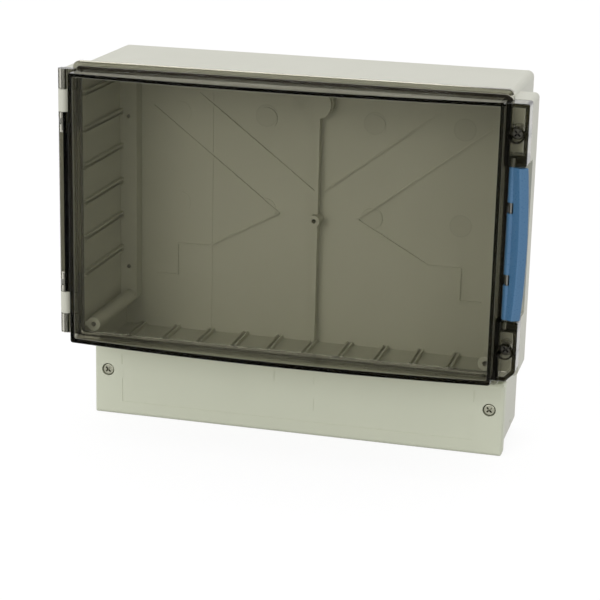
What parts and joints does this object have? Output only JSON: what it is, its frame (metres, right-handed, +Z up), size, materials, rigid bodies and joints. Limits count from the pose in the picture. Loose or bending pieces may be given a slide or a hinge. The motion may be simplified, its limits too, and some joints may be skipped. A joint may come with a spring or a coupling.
{
  "type": "wall enclosure",
  "caption": "Wall-mounted plastic enclosure with a hinged bowed see-through cover, a side latch, lock screws and a screwed cover over a lower terminal compartment.",
  "frame": {"origin": "middle of the flat back face that lies on the wall", "axes": "+Y into the wall, so the front faces -Y; +Z up; +X to the right of a person who faces the front"},
  "size_m": [0.3037, 0.1168, 0.2449],
  "materials": {
    "base_grey": "fine satin texture, light warm grey",
    "terminal_grey": "fine satin texture, light warm grey",
    "smoked_clear": "polished, smoked, see-through",
    "latch_blue": "satin blue",
    "seal_foam": "closed-cell foam, dark",
    "pin_steel": "bright drawn wire",
    "screw_steel": "zinc plated",
    "lock_steel": "dark passivated",
    "washer_nylon": "natural nylon",
    "insert_brass": "turned"
  },
  "bodies": {
    "base": {"base": "base_grey", "hinge_pin_upper": "pin_steel", "hinge_pin_lower": "pin_steel", "lock_insert_upper": "insert_brass", "lock_insert_lower": "insert_brass", "terminal_insert_left": "insert_brass", "terminal_insert_right": "insert_brass"},
    "window": {"window_cover": "smoked_clear", "cover_seal": "seal_foam", "latch_pin": "pin_steel"},
    "latch": {"latch": "latch_blue"},
    "lock_screw_upper": {"lock_screw_upper": "lock_steel", "lock_washer_upper": "washer_nylon"},
    "lock_screw_lower": {"lock_screw_lower": "lock_steel", "lock_washer_lower": "washer_nylon"},
    "terminal_cover": {"terminal_cover": "terminal_grey", "terminal_seal": "seal_foam"},
    "terminal_screw_left": {"terminal_screw_left": "screw_steel", "terminal_washer_left": "washer_nylon"},
    "terminal_screw_right": {"terminal_screw_right": "screw_steel", "terminal_washer_right": "washer_nylon"}
  },
  "joints": [
    {"name": "cover_hinge", "type": "hinge", "parent": "base", "child": "window", "pos_m": [-0.144, -0.0955, 0.031], "axis": [0, 0, -1], "range_deg": [0, 165]},
    {"name": "latch_pivot", "type": "hinge", "parent": "window", "child": "latch", "pos_m": [0.142, -0.098, 0.02925], "axis": [0, 0, -1], "range_deg": [0, 45]},
    {"name": "terminal_cover_lift", "type": "slide", "parent": "base", "child": "terminal_cover", "axis": [0, -1, 0], "range_m": [0, 0.08]},
    {"name": "lock_screw_upper_turn", "type": "hinge", "parent": "window", "child": "lock_screw_upper", "pos_m": [0.1432, -0.0935, 0.09655], "axis": [0, -1, 0], "continuous": true},
    {"name": "lock_screw_lower_turn", "type": "hinge", "parent": "window", "child": "lock_screw_lower", "pos_m": [0.1432, -0.0935, -0.03805], "axis": [0, -1, 0], "continuous": true},
    {"name": "terminal_screw_left_turn", "type": "hinge", "parent": "terminal_cover", "child": "terminal_screw_left", "pos_m": [-0.1296, -0.0554, -0.092], "axis": [0, -1, 0], "continuous": true},
    {"name": "terminal_screw_right_turn", "type": "hinge", "parent": "terminal_cover", "child": "terminal_screw_right", "pos_m": [0.1296, -0.0554, -0.092], "axis": [0, -1, 0], "continuous": true}
  ]
}
